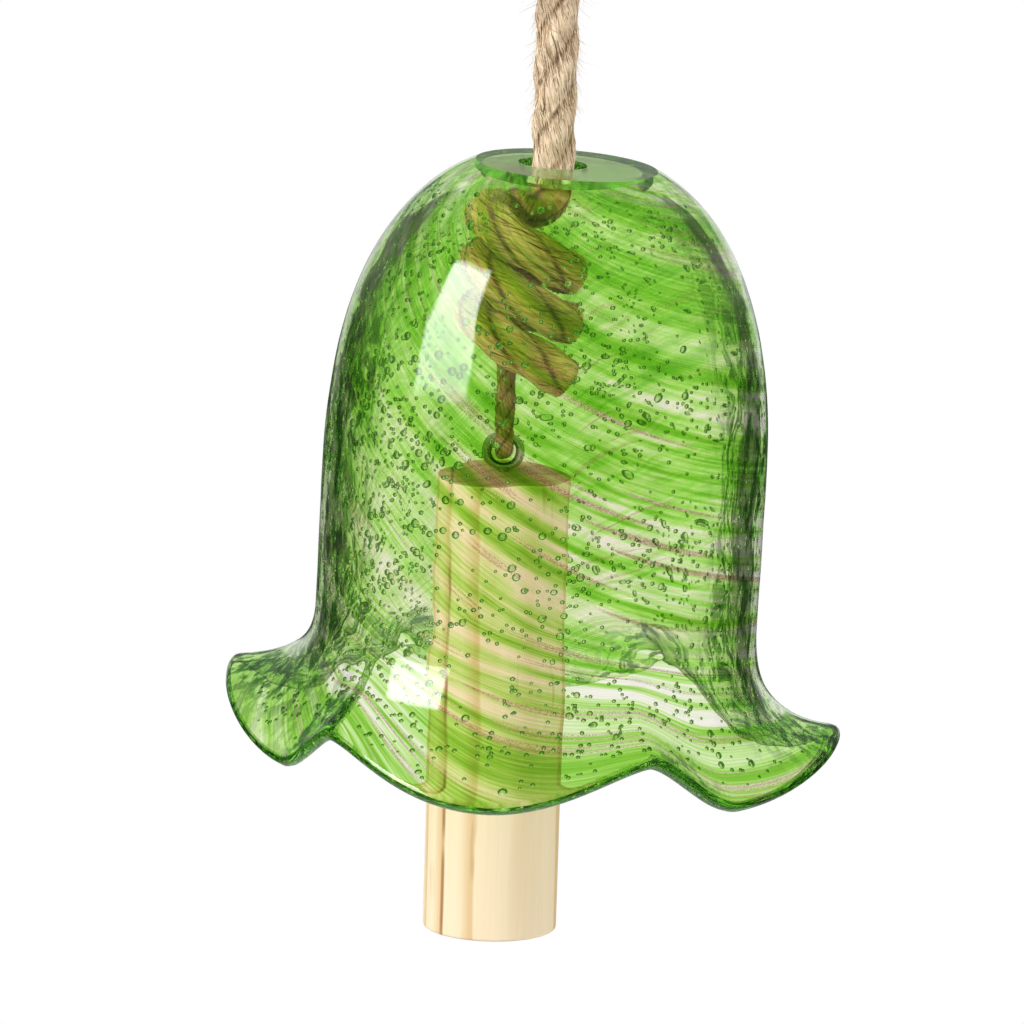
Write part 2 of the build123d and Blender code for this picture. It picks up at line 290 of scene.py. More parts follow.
class StageSettings(bpy.types.PropertyGroup):
    """Floor, lamps and camera"""

    lens: bpy.props.FloatProperty(
        name="Lens", description="Focal length of the camera in millimetres", default=316.6)
    distance: bpy.props.FloatProperty(
        name="Distance", description="Camera to the bell", default=1.7, unit="LENGTH")
    elevation: bpy.props.FloatProperty(
        name="Elevation", description="Angle of the view from above",
        default=math.radians(12), subtype="ANGLE")
    roll: bpy.props.FloatProperty(
        name="Roll", description="Turn of the camera about its own line of sight",
        default=math.radians(1.83), subtype="ANGLE")
    floor: bpy.props.FloatProperty(
        name="Floor", description="Height of the floor", default=-0.62, unit="LENGTH")
    key: bpy.props.FloatProperty(
        name="Key lamp", description="Power of the key lamp", default=15.0, unit="POWER")
    fill: bpy.props.FloatProperty(
        name="Fill lamp", description="Power of the fill lamp", default=8.4, unit="POWER")
    sky: bpy.props.FloatProperty(
        name="Room light", description="Strength of the light from all round", default=0.45)


# Node helpers


def new_tree(name):
    """A material with an empty node tree and its output node."""
    material = bpy.data.materials.new(name)
    material.use_nodes = True
    tree = material.node_tree
    tree.nodes.clear()
    return material, tree, tree.nodes.new("ShaderNodeOutputMaterial")


def add_node(tree, kind, values=None, **properties):
    """A node with its properties set, and its sockets set or linked by name or number."""
    made = tree.nodes.new("ShaderNode" + kind)
    for name, value in properties.items():
        setattr(made, name, value)
    for key, value in (values or {}).items():
        if isinstance(value, bpy.types.NodeSocket):
            tree.links.new(value, made.inputs[key])
        else:
            socket = made.inputs[key]
            wide = socket.type == "RGBA" and len(value) == 3
            socket.default_value = (*value, 1) if wide else value
    return made


def math_node(tree, operation, *values):
    """The result of a math node."""
    return add_node(tree, "Math", dict(enumerate(values)), operation=operation).outputs[0]


def times(tree, *values):
    """The product of two values."""
    return math_node(tree, "MULTIPLY", *values)


def plus(tree, *values):
    """The sum of two values."""
    return math_node(tree, "ADD", *values)


def larger(tree, *values):
    """The larger of two values."""
    return math_node(tree, "MAXIMUM", *values)


def vector_node(tree, operation, *values):
    """The result of a vector math node."""
    return add_node(tree, "VectorMath", dict(enumerate(values)), operation=operation).outputs[0]


def mix_colour(tree, factor, one, two, blend="MIX"):
    """Two colours mixed by a factor."""
    mix = add_node(tree, "Mix", data_type="RGBA", blend_type=blend)
    for socket, value in ((mix.inputs[0], factor), (mix.inputs[6], one), (mix.inputs[7], two)):
        if isinstance(value, bpy.types.NodeSocket):
            tree.links.new(value, socket)
        else:
            socket.default_value = value if isinstance(value, (int, float)) else (*value, 1)
    return mix.outputs[2]


def ramp(tree, factor, stops):
    """A colour ramp through stops of place and colour."""
    made = add_node(tree, "ValToRGB", {0: factor})
    elements = made.color_ramp.elements
    while len(elements) < len(stops):
        elements.new(0.5)
    for element, (place, colour) in zip(elements, stops):
        element.position = place
        element.color = (*colour, 1)
    return made.outputs[0]


def remap(tree, value, low, high, to_low=0.0, to_high=1.0):
    """A value eased from one range to another."""
    values = {0: value, 1: low, 2: high, 3: to_low, 4: to_high}
    return add_node(tree, "MapRange", values, interpolation_type="SMOOTHSTEP").outputs[0]


def object_place(tree):
    """The place on an object, in metres."""
    return add_node(tree, "TexCoord").outputs["Object"]


def attribute(tree, name, output="Fac"):
    """A value that is stored on the vertices."""
    return add_node(tree, "Attribute", attribute_name=name).outputs[output]


def parts_of(tree, vector):
    """The three parts of a vector."""
    return add_node(tree, "SeparateXYZ", {0: vector}).outputs


def stretched(tree, place, *shares):
    """A place with its three parts stretched."""
    return vector_node(tree, "MULTIPLY", place, shares)


def noise_node(tree, place, scale, detail=2.0, roughness=0.5, distortion=0.0):
    """The value of a noise texture."""
    values = {"Vector": place, "Scale": scale, "Detail": detail, "Roughness": roughness,
              "Distortion": distortion}
    return add_node(tree, "TexNoise", values).outputs[0]


def bump(tree, height, strength, distance):
    """A normal from a height."""
    values = {"Height": height, "Strength": strength, "Distance": distance}
    return add_node(tree, "Bump", values).outputs[0]


def mix_shader(tree, factor, one, two):
    """Two shaders mixed by a factor."""
    return add_node(tree, "MixShader", {0: factor, 1: one.outputs[0], 2: two.outputs[0]})


def principled(tree, output, values):
    """A Principled BSDF on a material's output."""
    shader = add_node(tree, "BsdfPrincipled", values)
    tree.links.new(shader.outputs[0], output.inputs[0])


# Mesh helpers


def new_piece(name, places, faces, material):
    """A smooth mesh object with one material."""
    mesh = bpy.data.meshes.new(name)
    mesh.from_pydata(np.asarray(places).tolist(), [], faces)
    mesh.polygons.foreach_set("use_smooth", [True] * len(mesh.polygons))
    mesh.update()
    piece = bpy.data.objects.new(name, mesh)
    bpy.context.scene.collection.objects.link(piece)
    mesh.materials.append(material)
    return piece


def put_attribute(piece, name, kind, values):
    """Values on the vertices, for the finish to read."""
    made = piece.data.attributes.new(name, kind, "POINT")
    key = "vector" if kind == "FLOAT_VECTOR" else "value"
    made.data.foreach_set(key, np.asarray(values, np.float32).ravel())


def grid_faces(rows, sides, first=0):
    """Quads between rings of equal sides."""
    faces = []
    for row in range(rows - 1):
        base = first + row * sides
        for side in range(sides):
            after = (side + 1) % sides
            faces.append((base + side, base + after, base + sides + after, base + sides + side))
    return faces


# Rope


def spline_line(name, points, steps):
    """The points of a smooth line through a route, in metres."""
    curve = bpy.data.curves.new(name, "CURVE")
    curve.dimensions = "3D"
    curve.resolution_u = steps
    spline = curve.splines.new("NURBS")
    spline.points.add(len(points) - 1)
    for point, place in zip(spline.points, points):
        point.co = (*place, 1)
    spline.order_u = 3
    spline.use_endpoint_u = True
    holder = bpy.data.objects.new(name, curve)
    mesh = bpy.data.meshes.new_from_object(holder)
    line = np.array([vertex.co for vertex in mesh.vertices], float)
    bpy.data.objects.remove(holder)
    bpy.data.curves.remove(curve)
    bpy.data.meshes.remove(mesh)
    return line


def run_along(line):
    """The length from the start of a line to each of its points."""
    return np.concatenate([[0], np.cumsum(np.linalg.norm(np.diff(line, axis=0), axis=1))])


def steady_frames(line):
    """The way along a line, and two ways across it that don't twist."""
    ways = np.gradient(line, axis=0)
    ways /= np.linalg.norm(ways, axis=1)[:, None]
    across = np.zeros_like(line)
    side = np.cross(ways[0], (0.0, 1.0, 0.0))
    if np.linalg.norm(side) < 0.1:
        side = np.cross(ways[0], (1.0, 0.0, 0.0))
    for index, way in enumerate(ways):
        side = side - way * side.dot(way)
        side /= np.linalg.norm(side)
        across[index] = side
    return ways, across, np.cross(ways, across)


def strand_radius(turn, diameter):
    """Radius of strands laid together, and 0 to 1 from groove to crown, by the turn from a crown."""
    part = 2 * math.pi / STRANDS
    off = (turn + part / 2) % part - part / 2
    centre = STRAND_CENTRE * diameter
    strand = STRAND_R * diameter
    radius = centre * np.cos(off) + np.sqrt(np.maximum(strand**2 - (centre * np.sin(off)) ** 2, 0))
    rise = STRAND_CENTRE + STRAND_R - DARKEST_R
    depth = (radius - DARKEST_R * diameter) / (rise * diameter)
    return np.maximum(radius, GROOVE_R * diameter), depth


def laid_rope(name, line, diameter, lay, lift, phase, material):
    """A rope of three strands laid round a line, with a closed end at each side."""
    run = run_along(line)
    ways, across, beside = steady_frames(line)
    turn = np.linspace(0, 2 * math.pi, ROPE_SIDES, endpoint=False)
    strand_turn = 2 * math.pi * run / lay + phase
    radius, depth = strand_radius(turn[None, :] - strand_turn[:, None], diameter)
    fibre_turn = turn[None, :] + strand_turn[:, None] * FIBRE_LEAN
    fibre = np.zeros_like(radius)
    for row in range(len(line)):
        along = RIDGE_RUN * run[row] / diameter
        for side, angle in enumerate(fibre_turn[row]):
            spot = (FIBRE_RIDGES * math.cos(angle), FIBRE_RIDGES * math.sin(angle), along)
            fibre[row, side] = noise.noise(spot)
    radius += lift * fibre
    out = np.cos(turn)[None, :, None] * across[:, None, :]
    out = out + np.sin(turn)[None, :, None] * beside[:, None, :]
    places = (line[:, None, :] + radius[:, :, None] * out).reshape(-1, 3)
    faces = grid_faces(len(line), ROPE_SIDES)
    last = (len(line) - 1) * ROPE_SIDES
    rise = END_RISE * diameter
    caps = np.array([line[0] - ways[0] * rise, line[-1] + ways[-1] * rise])
    start_cap = len(places)
    for side in range(ROPE_SIDES):
        after = (side + 1) % ROPE_SIDES
        faces.append((side, start_cap, after))
        faces.append((last + side, last + after, start_cap + 1))
    piece = new_piece(name, np.vstack([places, caps]), faces, material)
    along = np.repeat(run[:, None] / diameter, ROPE_SIDES, axis=1)
    finish = np.stack([np.cos(fibre_turn), np.sin(fibre_turn), along], axis=2).reshape(-1, 3)
    ends = np.array([[0, 0, 0], [0, 0, run[-1] / diameter]])
    put_attribute(piece, "fibre_place", "FLOAT_VECTOR", np.vstack([finish, ends]))
    put_attribute(piece, "strand_depth", "FLOAT", np.concatenate([depth.ravel(), [0.4, 0.4]]))
    return piece


def follow(run, values, at):
    """Values along a line, read at other lengths of it."""
    return np.stack([np.interp(at, run, values[:, axis]) for axis in range(3)], axis=-1)


def rope_fibres(name, line, diameter, lay, phase, lying, stray, seed, material):
    """Fibres that lie on a rope's strands, and stray ones that stand off it."""
    chance = np.random.default_rng(seed)
    count = lying + stray
    loose = (np.arange(count) >= lying).astype(float)[:, None]
    run = run_along(line)
    ways, across, beside = steady_frames(line)
    share = np.linspace(0, 1, FIBRE_JOINTS)[None, :]
    length = diameter * chance.uniform(*FIBRE_LENGTH, (count, 1)) * (1 - STRAY_SHORTER * loose)
    start = chance.uniform(0, run[-1], (count, 1)) * (1 - STRAY_FREE_END * loose)
    at = np.clip(start + length * share, 0, run[-1])
    lean = -FIBRE_LEAN * 2 * math.pi / lay * chance.normal(1, 0.45, (count, 1))
    turn = chance.uniform(0, 2 * math.pi, (count, 1)) + lean * (at - start)
    turn = turn + chance.normal(0, 0.09 + 0.3 * loose, (count, 1)) * share**2
    radius, depth = strand_radius(turn - 2 * math.pi * at / lay - phase, diameter)
    arch = FIBRE_ARCH * diameter * chance.uniform(0.1, 1, (count, 1))
    radius = radius - FIBRE_SINK * diameter + arch * np.sin(math.pi * share) * (1 - loose)
    radius = radius + loose * share**1.5 * diameter * chance.gamma(2.0, STRAY_REACH, (count, 1))
    out = np.cos(turn)[..., None] * follow(run, across, at)
    out = out + np.sin(turn)[..., None] * follow(run, beside, at)
    middle = follow(run, line, at) + radius[..., None] * out
    way = np.gradient(middle, axis=1)
    way /= np.maximum(np.linalg.norm(way, axis=2, keepdims=True), 1e-9)
    aside = np.cross(way, out)
    thick = diameter * chance.uniform(*FIBRE_THICKNESS, (count, 1)) * (1 - STRAY_THINNER * loose)
    thick = thick * (1 - 0.75 * np.abs(2 * share - 1) ** 3)
    rounds = []
    for side in range(FIBRE_SIDES):
        angle = 2 * math.pi * side / FIBRE_SIDES
        flat = math.cos(angle) * FIBRE_FLATNESS * out + math.sin(angle) * aside
        rounds.append(middle + thick[..., None] * flat)
    places = np.stack(rounds, axis=2).reshape(-1, 3)
    one = np.array(grid_faces(FIBRE_JOINTS, FIBRE_SIDES))
    first = np.arange(count) * FIBRE_JOINTS * FIBRE_SIDES
    faces = (one[None] + first[:, None, None]).reshape(-1, 4).tolist()
    piece = new_piece(name, places, faces, material)
    # Each fibre's tone is random, and is darkened as painted shade the deeper the fibre lies in a groove
    tone = np.clip(chance.beta(1.7, 1.1, (count, 1)) * np.clip(0.45 + 1.1 * depth, 0.25, 1), 0, 1)
    put_attribute(piece, "tone", "FLOAT", np.repeat(tone, FIBRE_SIDES, axis=1))
    return piece


def dress_rope(names, line, diameter, lay, lift, phase, counts, seed, materials):
    """Strands of a rope along a line, and the fibres on them."""
    strands = laid_rope(names[0], line, diameter, lay, lift, phase, materials[0])
    fibres = rope_fibres(names[1], line, diameter, lay, phase, *counts, seed, materials[1])
    return strands, fibres


def fibre_group():
    """Shared look of spun jute: colour and height from the place on the strands, with painted shade in
    the grooves and between the fibre lines.
    """
    if "Spun fibre" in bpy.data.node_groups:
        return bpy.data.node_groups["Spun fibre"]
    tree = bpy.data.node_groups.new("Spun fibre", "ShaderNodeTree")
    face = tree.interface
    for name in ("Light", "Middle", "Dark"):
        face.new_socket(name, in_out="INPUT", socket_type="NodeSocketColor")
    face.new_socket("Fineness", in_out="INPUT", socket_type="NodeSocketFloat")
    face.new_socket("Colour", in_out="OUTPUT", socket_type="NodeSocketColor")
    face.new_socket("Height", in_out="OUTPUT", socket_type="NodeSocketFloat")
    given = tree.nodes.new("NodeGroupInput")
    result = tree.nodes.new("NodeGroupOutput")
    place = attribute(tree, "fibre_place", "Vector")
    fine = vector_node(tree, "SCALE", stretched(tree, place, 9, 9, 1.6))
    tree.links.new(given.outputs["Fineness"], fine.node.inputs["Scale"])
    lines = noise_node(tree, fine, 1.0, 4, 0.65, 0.2)
    patches = noise_node(tree, stretched(tree, place, 2.4, 2.4, 0.9), 1.0, 3, 0.6)
    tone = math_node(tree, "MULTIPLY_ADD", lines, 0.72, times(tree, patches, 0.28))
    tone = remap(tree, tone, 0.34, 0.66)
    spun = mix_colour(tree, tone, given.outputs["Middle"], given.outputs["Light"])
    # Painted shade: the dark tone fills the grooves between the strands and the gaps between the fibre
    # lines
    crown = remap(tree, attribute(tree, "strand_depth"), 0.02, 0.5)
    unshaded_lines = remap(tree, lines, 0.25, 0.42)
    colour = mix_colour(tree, times(tree, crown, unshaded_lines), given.outputs["Dark"], spun)
    tree.links.new(colour, result.inputs["Colour"])
    tree.links.new(lines, result.inputs["Height"])
    return tree


def jute_material(name, tones, fineness):
    """Spun jute in a light, a middle and a dark tone."""
    material, tree, output = new_tree(name)
    group = tree.nodes.new("ShaderNodeGroup")
    group.node_tree = fibre_group()
    for socket, tone in zip(("Light", "Middle", "Dark"), tones):
        group.inputs[socket].default_value = (*tone, 1)
    group.inputs["Fineness"].default_value = fineness
    principled(tree, output, {
        "Base Color": group.outputs["Colour"], "Roughness": 0.82, "Specular IOR Level": 0.25,
        "Sheen Weight": 0.25, "Sheen Roughness": 0.5,
        "Normal": bump(tree, group.outputs["Height"], 0.55, 0.25 * MM)})
    return material


def hair_material(name, tones):
    """Single jute fibres, each with its own tone, darkened as painted shade the deeper a fibre lies in a
    groove.
    """
    material, tree, output = new_tree(name)
    light, middle, groove_shade = tones
    colour = ramp(tree, attribute(tree, "tone"), ((0.05, groove_shade), (0.4, middle), (0.85, light)))
    principled(tree, output, {"Base Color": colour, "Roughness": 0.6, "Specular IOR Level": 0.3})
    return material


def rope_materials(settings, kind, fineness=1.0, tint=(1, 1, 1)):
    """Materials of a rope and of its fibres, made once; a tint darkens their tones as painted shade."""
    made = bpy.data.materials
    if kind not in made:
        tones = [
            tuple(value * share for value, share in zip(tone, tint))
            for tone in (settings.light, settings.middle, settings.groove_shade)
        ]
        jute_material(kind, tones, fineness)
        hair_material(kind + "_fibre", tones)
    return made[kind], made[kind + "_fibre"]


def metres(points):
    """Points in millimetres as vectors in metres."""
    return [Vector(point) * MM for point in points]


def loop_knot_place(count):
    """A corner of the loop knot's winding, after a count of turns."""
    angle = math.pi + 2 * math.pi * count
    across = TURN_CORNER_R * math.cos(angle)
    return Vector((across, TURN_CORNER_R * math.sin(angle), LOOP_KNOT_Z - PITCH * count)) * MM


def stopper_place(count):
    """A corner of the stopper knot's slanted winding, after a count of turns."""
    angle = 2 * math.pi * count
    drop = PITCH * count
    across = TURN_CORNER_R * math.cos(angle)
    return Vector((
        across * math.cos(TURN_SLANT) - STOPPER_SHIFT - drop * math.tan(STOPPER_LEAN),
        TURN_CORNER_R * math.sin(angle),
        STOPPER_Z - drop - across * math.sin(TURN_SLANT),
    )) * MM


def turns(place, first, last):
    """Points along a winding, evenly spaced in turns."""
    count = round((last - first) * POINTS_PER_TURN)
    return [place(first + (last - first) * step / count) for step in range(count + 1)]


def with_end(route, length):
    """A route in metres with a straight end, of a length in millimetres."""
    way = (route[-1] - route[-2]).normalized() * length * MM
    return [*route, route[-1] + way * 0.5, route[-1] + way]


def fibre_counts(settings, lying, stray):
    """Lying and stray fibres, for as many metres of rope."""
    return int(settings.fibres_per_metre * lying), int(settings.hairs_per_metre * stray)


def strand_phase(height, lay):
    """Turn of the strands at a height of the straight rope, so that its lengths line up."""
    return 2 * math.pi * height / lay


class WIND_BELL_OT_loop(bpy.types.Operator):
    """Hanging loop of the rope and the knot that closes it"""

    bl_idname = "wind_bell.loop"
    bl_label = "Hanging loop"

    def execute(self, context):
        settings = context.scene.wind_bell_rope
        angles = [math.radians(turn) for turn in ARCH_TURNS]
        top = LOOP_R / math.cos(angles[0])
        arch = [(top * math.cos(angle), 0, LOOP_CENTRE_Z + top * math.sin(angle)) for angle in angles]
        route = metres([
            (0, 0, ROPE_TOP_Z / MM + LOOP_FOOT), (0, 0, -52), (0, 0, -44), (0, 0, -29.3), (14, 0, -18.7),
            *arch,
            (-14, 0, -17.2), (-8.85, 0, -30.7), (-8.9, 0, -41.5), (-8.5, -2.6, -46),
        ])
        route += turns(loop_knot_place, LOOP_ENTRY, LOOP_KNOT_TURNS)
        line = spline_line("loop_line", with_end(route, TAIL_LENGTH), 6)
        piece, hairs = dress_rope(
            ("loop_rope", "loop_rope_hairs"), line, ROPE_D * MM, settings.lay, settings.fibre_lift,
            strand_phase(ROPE_TOP_Z + LOOP_FOOT * MM, settings.lay),
            fibre_counts(settings, lying=0.262, stray=0.262), 11, rope_materials(settings, "laid_rope"))
        for made in (piece, hairs):
            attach(made, "hanger")
        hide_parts("hanging_loop", "loop_knot")
        return {"FINISHED"}


class WIND_BELL_OT_hanging_rope(bpy.types.Operator):
    """Straight run of rope from the loop knot into the glass"""

    bl_idname = "wind_bell.hanging_rope"
    bl_label = "Hanging rope"

    def execute(self, context):
        settings = context.scene.wind_bell_rope
        first = ROPE_TOP_Z + HANGING_HEAD * MM
        last = BELL_PIVOT_Z - HANGING_FOOT * MM
        route = [Vector((0, 0, first + (last - first) * step / 4)) for step in range(5)]
        line = spline_line("hanging_line", route, 24)
        piece, hairs = dress_rope(
            ("hanging_rope_strands", "hanging_rope_hairs"), line, ROPE_D * MM, settings.lay,
            settings.fibre_lift, -strand_phase(first, settings.lay),
            fibre_counts(settings, lying=0.1, stray=0.1), 12, rope_materials(settings, "laid_rope"))
        for made in (piece, hairs):
            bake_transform(made)
        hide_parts("hanging_rope")
        return {"FINISHED"}


class WIND_BELL_OT_stopper(bpy.types.Operator):
    """Stopper knot under the glass"""

    bl_idname = "wind_bell.stopper"
    bl_label = "Stopper knot"

    def execute(self, context):
        settings = context.scene.wind_bell_rope
        first = BELL_PIVOT_Z - HANGING_FOOT * MM
        route = [Vector((0, 0, first)), *metres([(0, 0.3, -110.6), (-2.6, 8.6, -114.4)])]
        route += turns(stopper_place, STOPPER_ENTRY, STOPPER_TURNS)
        line = spline_line("stopper_line", with_end(route, ROPE_D), 6)
        # Painted shade: the stopper knot gets a darker copy of the rope's jute
        piece, hairs = dress_rope(
            ("stopper_rope", "stopper_rope_hairs"), line, ROPE_D * MM, settings.lay,
            settings.fibre_lift, -strand_phase(first, settings.lay),
            fibre_counts(settings, lying=0.166, stray=0.1), 13,
            rope_materials(settings, "knot_rope_painted_shade", tint=settings.knot_shade_tint))
        for made in (piece, hairs):
            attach(made, "knot")
        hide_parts("stopper_knot")
        return {"FINISHED"}


class WIND_BELL_OT_twine(bpy.types.Operator):
    """Doubled twine that carries the clapper"""

    bl_idname = "wind_bell.twine"
    bl_label = "Clapper twine"

    def execute(self, context):
        settings = context.scene.wind_bell_rope
        top = CORD_PIVOT.z / MM + 0.8
        foot = CLAPPER_PIVOT.z / MM
        half = [(-2.1, top), (-2.3, top - 8), (-2.9, foot + 3.2), (-2.9, foot)]
        both = half + [(-across, height) for across, height in half[::-1]]
        route = metres([(CLAPPER_X / MM, across, height) for across, height in both])
        line = spline_line("twine_line", route, 12)
        # Painted shade: the twine takes the knot's painted-shade tint, darkened further to 0.6 of it
        tint = [0.6 * value for value in settings.knot_shade_tint]
        piece, hairs = dress_rope(
            ("twine_strands", "twine_hairs"), line, TWINE_D * MM, settings.lay * TWINE_LAY,
            settings.fibre_lift * 0.5, 0, TWINE_FIBRES, 14,
            rope_materials(settings, "laid_twine", fineness=0.6, tint=tint))
        for made in (piece, hairs):
            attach(made, "clapper_cord")
        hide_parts("clapper_cord")
        return {"FINISHED"}


# Glass


def dome_radius(drop, side_radius, flat_radius, flat_drop):
    """Radius of the dome, by its drop from the top."""
    flat_share = (flat_radius / side_radius) ** DOME_POWER
    height = (SHOULDER_DROP - flat_drop) / (1 - flat_share) ** (1 / DOME_POWER)
    share = np.maximum(SHOULDER_DROP - drop, 0) / height
    return side_radius * (1 - share**DOME_POWER) ** (1 / DOME_POWER)


def lip_edge(angle):
    """Reach, drop and bend of the lip at an angle, eased from wave to wave."""
    turn = (angle - LIP_WAVES[0][0]) % 360 + LIP_WAVES[0][0]
    last = (LIP_WAVES[0][0] + 360, *LIP_WAVES[0][1:])
    for one, two in zip(LIP_WAVES, (*LIP_WAVES[1:], last)):
        if turn <= two[0]:
            share = (1 - math.cos(math.pi * (turn - one[0]) / (two[0] - one[0]))) / 2
            if two[2] > one[2]:
                share = share**LIP_FULLNESS
            else:
                share = 1 - (1 - share) ** LIP_FULLNESS
            return [a + (b - a) * share for a, b in zip(one[1:], two[1:])]


def lip_point(waves, along, round_rim):
    """Radius and drop on the lip: round_rim is 0 outside, 90 on the rim and 180 inside."""
    reach, drop, bend = waves
    middle_r = BODY_R - WALL / 2
    radius = middle_r + (BODY_R + reach - middle_r) * along**2
    height = NECK_DROP + 2 * along * (1 - along) * bend + along**2 * drop
    way_r = 2 * along * (BODY_R + reach - middle_r)
    way_drop = 2 * (1 - 2 * along) * bend + 2 * along * drop
    length = np.sqrt(way_r**2 + way_drop**2)
    half = (WALL + (LIP_THICKNESS - WALL) * along) / 2
    out = half * math.cos(math.radians(round_rim)) / length
    past = half * math.sin(math.radians(round_rim)) / length
    return radius + out * way_drop + past * way_r, height - out * way_r + past * way_drop


def slope_table():
    """Drops down the outside of the dome, and the run from the disc's edge to each."""
    drops = np.linspace(0, NECK_DROP, SLOPE_STEPS)
    radii = dome_radius(drops, BODY_R, DISC_R, 0)
    return drops, np.concatenate([[0], np.cumsum(np.hypot(np.diff(drops), np.diff(radii)))])


SLOPE_DROPS, SLOPE_RUNS = slope_table()


def slope_run(drops):
    """Length along the outside of the dome, from the disc's edge down to each drop."""
    return np.interp(drops, SLOPE_DROPS, SLOPE_RUNS)


NECK_RUN = float(slope_run(NECK_DROP))
BUBBLE_START = float(slope_run(TOP_THICKNESS + 1.5))


def wander(angle, run, inside):
    """How far the blown surface wanders in or out, as a share of the waviness."""
    layer = 50.0 if inside else 0.0
    total = np.zeros_like(angle)
    for length, size in SURFACE_WAVES:
        wide = BODY_R / length
        for index, (turn, down) in enumerate(zip(angle, run)):
            spot = Vector((wide * math.cos(turn), wide * math.sin(turn) + layer, down / length))
            total[index] += size * noise.noise(spot)
    grow = np.clip(run / TOP_CALM, 0, 1)
    return total * grow * np.clip((NECK_RUN + LIP_RUN - run) / LIP_CALM, 0.25, 1)


def bell_places(angle, radius, drop):
    """Places on the bell, in metres, from radius and drop about its own axis."""
    across = HOLE_OFFSET + radius * np.sin(angle)
    back = -HOLE_BACK - radius * np.cos(angle)
    right = Vector((BELL_AXIS.z, 0, -BELL_AXIS.x))
    places = across[..., None] * np.array(right) + back[..., None] * np.array((0, 1, 0))
    places = places - drop[..., None] * np.array(BELL_AXIS)
    return places * MM + np.array(GLASS_TOP)


def swirl_place(angle, run):
    """Where a spot lies in the twisted swirl of the glass."""
    spread = angle + 0.7 * np.cos(angle + 0.3)
    twist = SWIRL_TWIST * run + LIP_TWIST * np.maximum(run - NECK_RUN + LIP_TWIST_START, 0)
    turned = spread - twist
    return np.stack([np.cos(turned), np.sin(turned), SWIRL_RISE * run], axis=-1)


def bell_rows(angle, waves, waviness):
    """Rings of the bell as radius, drop and run: down the outside, round the rim, up the inside."""
    ones = np.ones_like(angle)
    ground = 0 * ones
    for _ in range(GRIND_ROUNDS):
        ground = (HOLE_OFFSET + dome_radius(ground, BODY_R, DISC_R, 0) * np.sin(angle)) * GRIND_SLOPE
    outside = []
    inside = []
    for step in range(DOME_ROWS + 1):
        share = (step / DOME_ROWS) ** DOME_CROWDING
        drop = ground + (NECK_DROP - ground) * share
        outside.append((dome_radius(drop, BODY_R, DISC_R, 0), drop, slope_run(np.maximum(drop, 0))))
        drop = (TOP_THICKNESS + (NECK_DROP - TOP_THICKNESS) * share) * ones
        radius = dome_radius(drop, BODY_R - WALL, CEILING_R, TOP_THICKNESS)
        inside.append((radius, drop, slope_run(drop)))
    for step in range(1, LIP_ROWS + 1):
        along = step / LIP_ROWS
        run = (NECK_RUN + LIP_RUN * along) * ones
        outside.append((*lip_point(waves, along, 0), run))
        inside.append((*lip_point(waves, along, 180), run))
    rim = [(*lip_point(waves, 1, turn), (NECK_RUN + LIP_RUN) * ones) for turn in RIM_TURNS]
    outer, inner = (
        [(radius + waviness * wander(angle, run, within), drop, run) for radius, drop, run in rows]
        for within, rows in ((False, outside), (True, inside))
    )
    return outer + rim + inner[::-1]


def hole_ring(angle, drop):
    """Places round the rope's hole, at a drop."""
    across = HOLE_R * np.sin(angle) - HOLE_OFFSET
    back = HOLE_R * np.cos(angle) - HOLE_BACK
    return bell_places(np.arctan2(across, back), np.hypot(across, back), drop)


def rings_between(one, two, shares):
    """Rings at shares of the way from one ring to another."""
    return [one * (1 - share) + two * share for share in shares]


def wall_at(degrees, run):
    """Places outside and inside the bell's wall, and its thickness in millimetres."""
    angle = np.array([math.radians(degrees)])
    if run < NECK_RUN:
        drop = np.array([np.interp(run, SLOPE_RUNS, SLOPE_DROPS)])
        outer = dome_radius(drop, BODY_R, DISC_R, 0), drop
        inner = dome_radius(drop, BODY_R - WALL, CEILING_R, TOP_THICKNESS), drop
        thick = WALL
    else:
        along = (run - NECK_RUN) / LIP_RUN
        waves = [np.array([value]) for value in lip_edge(degrees)]
        outer = lip_point(waves, along, 0)
        inner = lip_point(waves, along, 180)
        thick = WALL + (LIP_THICKNESS - WALL) * along
    return bell_places(angle, *outer)[0], bell_places(angle, *inner)[0], thick


